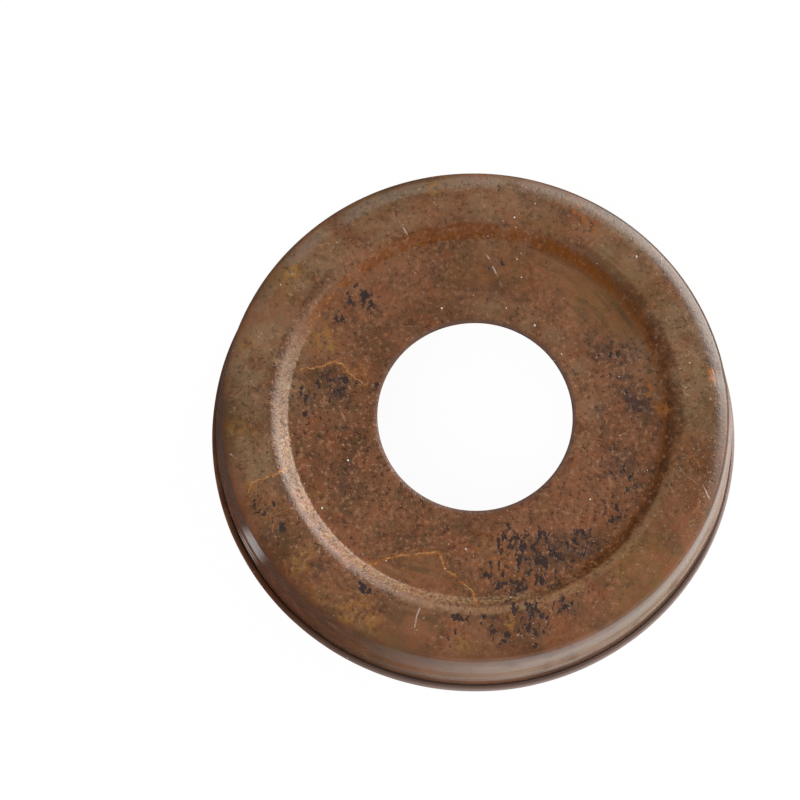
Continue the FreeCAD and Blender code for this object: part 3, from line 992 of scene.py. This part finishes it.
@dataclass
class PressedLid:
    """The pressing: panel with the light hole, step, rim, shoulder, skirt with its thread, and curled hem."""

    hole_radius: float
    panel_height: float
    skirt_radius: float
    height: float
    hem_radius: float
    sheet: float = 0.3
    punch_draw: float = 0.1         # how far the punch drew the edge of the hole down
    punch_reach: float = 0.6
    punch_bend: float = 1.0
    rim_width: float = 7.35
    step_run: float = 2.0
    step_foot_bend: float = 0.8
    step_head_bend: float = 3.0
    crown_width: float = 1.8
    crown_drop: float = 0.7
    crown_bend: float = 4.0
    shoulder_bend: float = 1.0
    skirt_taper: float = 0.12       # how far the top of the skirt leans in
    skirt_flare: float = 0.35       # how far its foot leans out
    band_height: float = 6.1
    band_step_rise: float = 0.8
    band_step_out: float = 0.6
    band_bend: float = 1.0
    bead_radius: float = 0.55
    curl_degrees: float = 280.0
    curl_steps: int = 18
    lacquered_steps: int = 12       # of the curl, from its end to the underside
    thread_pitch: float = 4.8
    thread_rise: float = 0.2
    thread_half_width: float = 1.15
    thread_turns: float = 1.3
    thread_fade: float = 0.1        # in turns
    thread_start_degrees: float = -45.0
    thread_start_height: float = 1.4
    waviness: float = 0.12
    wave_size: float = 14.0
    dent_place: Triple = (33.4, 8.6, 12.4)
    dent_depth: float = 0.15
    dent_reach: float = 2.2

    @classmethod
    def from_frame(cls) -> "PressedLid":
        """Takes the lid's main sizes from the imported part.

        Returns:
            The lid, with its other sizes as they are here.
        """
        mounts = {mount["name"]: mount for mount in frame["record"]["mounts"]}
        _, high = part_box("lid_shell")
        return cls(
            hole_radius=mounts["light_hole"]["dims"]["r_mm"],
            panel_height=mounts["panel_top"]["pos_m"][2] / MM,
            skirt_radius=mounts["jar_thread"]["dims"]["r_mm"] + cls.sheet,
            height=high.z / MM,
            hem_radius=high.x / MM,
        )

    def face(self) -> list[Vector]:
        """Draws the outer face of the sheet.

        Returns:
            Its points from the hole to the end of the curl, as (radius, height).
        """
        band = self.skirt_radius + self.band_step_out
        shoulder = self.skirt_radius - self.skirt_taper
        head = self.skirt_radius - self.rim_width
        flared = self.skirt_radius + self.skirt_flare
        line = bent_line([
            (self.hole_radius + self.sheet / 2, self.panel_height - self.punch_draw, 0.0, 0.15),
            (self.hole_radius + self.punch_reach, self.panel_height, self.punch_bend, 0.6),
            (head - self.step_run, self.panel_height, self.step_foot_bend, 0.4),
            (head, self.height, self.step_head_bend, 0.5),
            (shoulder - self.crown_width, self.height, self.crown_bend, 0.25),
            (shoulder, self.height - self.crown_drop, self.shoulder_bend, 0.25),
            (flared, self.band_height + self.band_step_rise, self.band_bend, 0.25),
            (band, self.band_height, self.band_bend, 0.25),
            (band, self.bead_radius, 0.0, 0.25),
        ])
        eye = self.bead_radius - self.sheet
        centre = Vector((self.hem_radius - self.bead_radius, self.bead_radius))
        arm = Vector((-eye, 0.0))
        step = math.radians(self.curl_degrees) / self.curl_steps
        return line + [centre + Matrix.Rotation(step * n, 2) @ arm for n in range(1, self.curl_steps + 1)]

    def build(self, outside: Material, inside: Material) -> Object:
        """Makes the pressing.

        Args:
            outside: Finish of the outer face.
            inside: Finish of the inner face.

        Returns:
            The piece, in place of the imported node.
        """
        face = self.face()
        section = section_mesh(closed_sheet(face, self.sheet))
        piece = run_tree("pressed_lid", section, lathe_tree(outside, inside), {
            "Facets": FACETS,
            "Outside Points": len(face) + EDGE_POINTS + self.lacquered_steps,
            "Thread Start": self.thread_start_degrees / 360 + 1,
            "Thread Height": self.thread_start_height * MM,
            "Thread Pitch": self.thread_pitch * MM,
            "Thread Turns": self.thread_turns,
            "Thread Rise": self.thread_rise * MM,
            "Thread Half Width": self.thread_half_width * MM,
            "Thread Fade": self.thread_fade,
            "Waviness": self.waviness * MM,
            "Wave Size": self.wave_size * MM,
            "Dent Place": tuple(c * MM for c in self.dent_place),
            "Dent Depth": self.dent_depth * MM,
            "Dent Reach": self.dent_reach * MM,
        })
        mark_zones(piece.data)
        mark_strokes(piece.data)
        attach(piece, "root")
        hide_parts("lid_shell")
        return piece


@dataclass
class LacquerSpecks:
    """Grains of dust that set in the lacquer of the upper faces."""

    per_square_metre: float = 22000.0
    least_upward: float = 0.5       # height of a face's unit normal, from which it carries specks
    smallest: float = 0.07
    largest: float = 0.2
    rarity: float = 2.5             # of large specks
    shape: Triple = (1.0, 0.8, 0.5)
    seed: int = 4

    def build(self, sheet: Object, dust: Material) -> Object:
        """Scatters the specks.

        Args:
            sheet: The lid that carries them.
            dust: Their finish, whose off-white is a painted glint.

        Returns:
            The piece, all specks in one mesh.
        """
        piece = run_tree("lacquer_specks", sheet.data, speck_tree(dust), {
            "Per Square Metre": self.per_square_metre, "Least Upward": self.least_upward,
            "Smallest": self.smallest * MM, "Largest": self.largest * MM, "Rarity": self.rarity,
            "Shape": self.shape, "Seed": self.seed})
        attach(piece, "root")
        return piece


@dataclass
class SealingRing:
    """The rubber ring in the channel under the rim, dented by the lip of the jar."""

    inner: float
    outer: float
    low: float
    high: float
    back_bend: float = 0.05     # of the edges against the lid
    edge_bend: float = 0.2      # of the edges that face the jar
    dent: float = 0.12
    dent_bend: float = 0.3
    dent_floor: float = 0.6     # width of the dent's floor, as a share of its mouth

    @classmethod
    def from_frame(cls) -> "SealingRing":
        """Takes the ring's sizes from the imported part.

        Returns:
            The ring, with its other sizes as they are here.
        """
        low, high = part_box("sealing_ring")
        inner = min(math.hypot(v.co.x, v.co.y) for v in frame["nodes"]["sealing_ring"].data.vertices)
        return cls(inner=inner / MM, outer=high.x / MM, low=low.z / MM, high=high.z / MM)

    def build(self, rubber: Material) -> Object:
        """Makes the ring.

        Args:
            rubber: Its finish.

        Returns:
            The piece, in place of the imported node.
        """
        middle, mouth = (self.inner + self.outer) / 2, (self.outer - self.inner) / 4
        floor = mouth * self.dent_floor
        line = bent_line([
            (middle, self.high, 0.0, 0.4),
            (self.outer, self.high, self.back_bend, 0.3),
            (self.outer, self.low, self.edge_bend, 0.2),
            (middle + mouth, self.low, self.dent_bend, 0.2),
            (middle + floor, self.low + self.dent, self.dent_bend, 0.2),
            (middle - floor, self.low + self.dent, self.dent_bend, 0.2),
            (middle - mouth, self.low, self.dent_bend, 0.2),
            (self.inner, self.low, self.edge_bend, 0.2),
            (self.inner, self.high, self.back_bend, 0.3),
            (middle, self.high, 0.0, 0.4),
        ])
        # no thread, waves or dent: their heights stay 0, and their widths only have to be above 0
        widths = ("Thread Pitch", "Thread Half Width", "Thread Fade", "Wave Size", "Dent Reach")
        piece = run_tree("moulded_ring", section_mesh(line[:-1]), lathe_tree(rubber, rubber), {
            "Facets": FACETS // 2, "Outside Points": len(line), **dict.fromkeys(widths, MM)})
        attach(piece, "root")
        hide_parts("sealing_ring")
        return piece


def around(azimuth: float, elevation: float) -> Vector:
    """Unit vector that points away from the lid.

    Args:
        azimuth: Degrees round from +X towards +Y.
        elevation: Degrees above the floor.

    Returns:
        The vector.
    """
    a, e = math.radians(azimuth), math.radians(elevation)
    return Vector((math.cos(a) * math.cos(e), math.sin(a) * math.cos(e), math.sin(e)))


@dataclass(frozen=True)
class Lamp:
    """Soft box that faces the lid, by its place round it, in degrees and metres."""

    name: str
    azimuth: float
    elevation: float
    away: float
    width: float
    height: float
    watts: float


@dataclass
class Studio:
    """Pale floor, soft lamps and the camera; the floor and the surroundings are in metres."""

    distance: float = 800.0
    tilt_degrees: float = 15.9
    roll_degrees: float = 4.85
    pixels_per_mm: float = 7.16
    aim_pixel: Pair = (475.1, 416.1)
    picture: float = 800.0
    sensor: float = 36.0
    farthest_seen: float = 10.0
    lamps: tuple[Lamp, ...] = (
        Lamp("key", 32.0, 16.0, 0.7, 1.0, 0.35, 5.9),
        Lamp("fill", 240.0, 52.0, 0.9, 0.6, 0.6, 3.8),
    )
    card_tint: str = "#f2f2f2"
    card_reach: float = 3.0
    card_drop: float = 1e-5                                     # keeps the card clear of the hem
    card_share: float = 0.92                                    # of white in what is seen of the card
    card_level: float = 1.04
    mirrored_x: Pair = (-0.016, 0.008)           # of the card's dark and light side in the lacquer
    mirrored_y: Pair = (0.016, 0.004)
    mirrored_dark: float = 0.02
    mirrored_light: float = 0.7
    light_gap: Triple = (-0.032, -0.02, 0.0)    # a light place on the dark side
    light_gap_reach: Pair = (0.004, 0.001)
    light_gap_level: float = 0.8
    ambient: float = 0.25
    wall_way: Triple = (0.99, -0.14, 0.0)   # towards the light wall that the lacquer mirrors
    wall_cosines: Pair = (-0.35, 0.3)
    wall_levels: Pair = (0.1, 0.75)
    wall_top: Pair = (0.3, 0.6)                  # sines of the heights at which it fades
    glow_place: Pair = (43.0, 24.0)
    glow_level: float = 7.0
    glow_cosines: Pair = (0.55, 0.98)            # of the angles at which it begins and is full
    glow_focus: float = 3.4
    glow_top: Pair = (0.7, 0.92)
    glow_tint: str = "#fff7f0"
    glow_tint_height: Pair = (0.05, 0.25)

    def place_camera(self, aim: Vector) -> None:
        """Puts the camera where the lid's outlines fall as they do in the picture.

        Args:
            aim: Centre of the panel, in metres.
        """
        data = bpy.data.cameras.new("camera")
        camera = bpy.data.objects.new("camera", data)
        bpy.context.scene.collection.objects.link(camera)
        focal = self.pixels_per_mm * self.distance
        data.sensor_width = self.sensor
        data.lens = focal * self.sensor / self.picture
        data.clip_end = self.farthest_seen
        tilt = math.radians(self.tilt_degrees)
        towards = Vector((0.0, -math.sin(tilt), math.cos(tilt)))
        seen = Vector((self.aim_pixel[0] - self.picture / 2, self.picture / 2 - self.aim_pixel[1], -focal))
        turn = (Matrix.Rotation(tilt, 3, "X") @ Matrix.Rotation(math.radians(self.roll_degrees), 3, "Z")
                @ seen.rotation_difference(Vector((0.0, 0.0, -1.0))).to_matrix())
        camera.matrix_world = Matrix.Translation(aim + towards * self.distance * MM) @ turn.to_4x4()
        bpy.context.scene.camera = camera

    def lay_floor(self) -> None:
        """Lays a pale floor that shows white, with a soft shadow under the lid."""
        # Matt white card: an even pale ground
        material, add = new_material("matt_white_card")
        ray = add("ShaderNodeLightPath").node.outputs
        place = add("ShaderNodeTexCoord", output="Object")
        split = add(SPLIT, (place,)).node.outputs
        seen = add(MATH, (ray["Is Glossy Ray"], ray["Is Camera Ray"]), operation="ADD")
        seen = add(MATH, (seen, ray["Is Transmission Ray"]), operation="ADD", use_clamp=True)
        seen = add(MATH, (seen, self.card_share), operation="MULTIPLY")
        card = add("ShaderNodeBsdfDiffuse", {"Color": linear(self.card_tint)})
        mirrored = self.mirrored_light
        for way, limits in ((split["X"], self.mirrored_x), (split["Y"], self.mirrored_y)):
            mirrored = add(RANGE, (way, *limits, self.mirrored_dark, mirrored))
        gap = add(VECTOR, (place, self.light_gap), "Value", operation="DISTANCE")
        gap = add(RANGE, (gap, *self.light_gap_reach, 0.0, self.light_gap_level), **EASED)
        mirrored = add(MATH, (mirrored, gap), operation="MAXIMUM")
        level = add(MIX, {SHARE: ray["Is Glossy Ray"], FIRST_LEVEL: self.card_level, SECOND_LEVEL: mirrored})
        white = add("ShaderNodeEmission", {"Color": linear(WHITE), "Strength": level})
        mixed = add("ShaderNodeMixShader", (seen, card, white))
        add("ShaderNodeOutputMaterial", {"Surface": mixed})
        corners = [(x * self.card_reach, y * self.card_reach, -self.card_drop)
                   for x, y in ((-1, -1), (1, -1), (1, 1), (-1, 1))]
        mesh = bpy.data.meshes.new("floor")
        mesh.from_pydata(corners, [], [(0, 1, 2, 3)])
        mesh.materials.append(material)
        floor = bpy.data.objects.new("floor", mesh)
        bpy.context.scene.collection.objects.link(floor)

    def hang_world(self) -> None:
        """Surrounds the scene with white, of which the lacquer mirrors a light wall and a warm glow."""
        world = bpy.data.worlds.new("studio")
        bpy.context.scene.world = world
        world.use_nodes = True
        world.node_tree.nodes.clear()
        add = partial(add_node, world.node_tree)
        ray = add("ShaderNodeLightPath").node.outputs
        way = add("ShaderNodeTexCoord", output="Generated")
        up = add(SPLIT, (way,), "Z")
        wall = add(VECTOR, (way, self.wall_way), "Value", operation="DOT_PRODUCT")
        wall = add(RANGE, (wall, *self.wall_cosines, *self.wall_levels), **EASED)
        wall = add(RANGE, (up, *self.wall_top, wall, 0.0), **EASED)
        glow = add(VECTOR, (way, around(*self.glow_place)), "Value", operation="DOT_PRODUCT")
        glow = add(RANGE, (glow, *self.glow_cosines))
        glow = add(MATH, (glow, self.glow_focus), operation="POWER")
        top = add(RANGE, (up, *self.glow_top, self.glow_level, 0.0), **EASED)
        glow = add(MATH, (glow, top, wall), operation="MULTIPLY_ADD")
        level = add(MIX, {SHARE: ray["Is Glossy Ray"], FIRST_LEVEL: self.ambient, SECOND_LEVEL: glow})
        seen = add(MATH, (ray["Is Camera Ray"], ray["Is Transmission Ray"]), operation="ADD")
        level = add(MIX, {SHARE: seen, FIRST_LEVEL: level, SECOND_LEVEL: 1.0})
        warm = add(RANGE, (up, *self.glow_tint_height, 0.0, ray["Is Glossy Ray"]))
        inputs = {SHARE: warm, FIRST_TINT: linear(WHITE), SECOND_TINT: linear(self.glow_tint)}
        tint = add(MIX, inputs, MIXED_TINT, data_type="RGBA")
        light = add("ShaderNodeBackground", {"Color": tint, "Strength": level})
        add("ShaderNodeOutputWorld", {"Surface": light})

    def hang_lamp(self, lamp: Lamp, aim: Vector) -> None:
        """Hangs a lamp.

        Args:
            lamp: Its place and power.
            aim: Where it points, in metres.
        """
        data = bpy.data.lights.new(lamp.name, "AREA")
        data.shape = "RECTANGLE"
        data.size = lamp.width
        data.size_y = lamp.height
        data.energy = lamp.watts
        box = bpy.data.objects.new(lamp.name, data)
        bpy.context.scene.collection.objects.link(box)
        way = around(lamp.azimuth, lamp.elevation)
        box.location = aim + way * lamp.away
        box.rotation_mode = "QUATERNION"
        box.rotation_quaternion = way.to_track_quat("Z", "Y")
        box.visible_glossy = False

    def build(self, aim: Vector) -> None:
        """Sets up the whole studio round the lid.

        Args:
            aim: Centre of the panel, in metres.
        """
        self.lay_floor()
        self.hang_world()
        for lamp in self.lamps:
            self.hang_lamp(lamp, aim)
        self.place_camera(aim)
        bpy.context.scene.view_settings.view_transform = "Standard"


def main() -> None:
    """Builds the lid and its studio."""
    logging.basicConfig(level=logging.INFO, format="%(name)s: %(message)s")
    lid = PressedLid.from_frame()
    shell = lid.build(LacqueredRust().build(), DullRust().build())
    specks = LacquerSpecks().build(shell, DustWithPaintedGlint().build())
    ring = SealingRing.from_frame().build(MouldedRubber().build())
    for piece in (shell, specks, ring):
        log.info("%s: %d faces", piece.name, len(piece.data.polygons))
    Studio().build(Vector((0.0, 0.0, lid.panel_height * MM)))


if __name__ == "__main__":
    main()
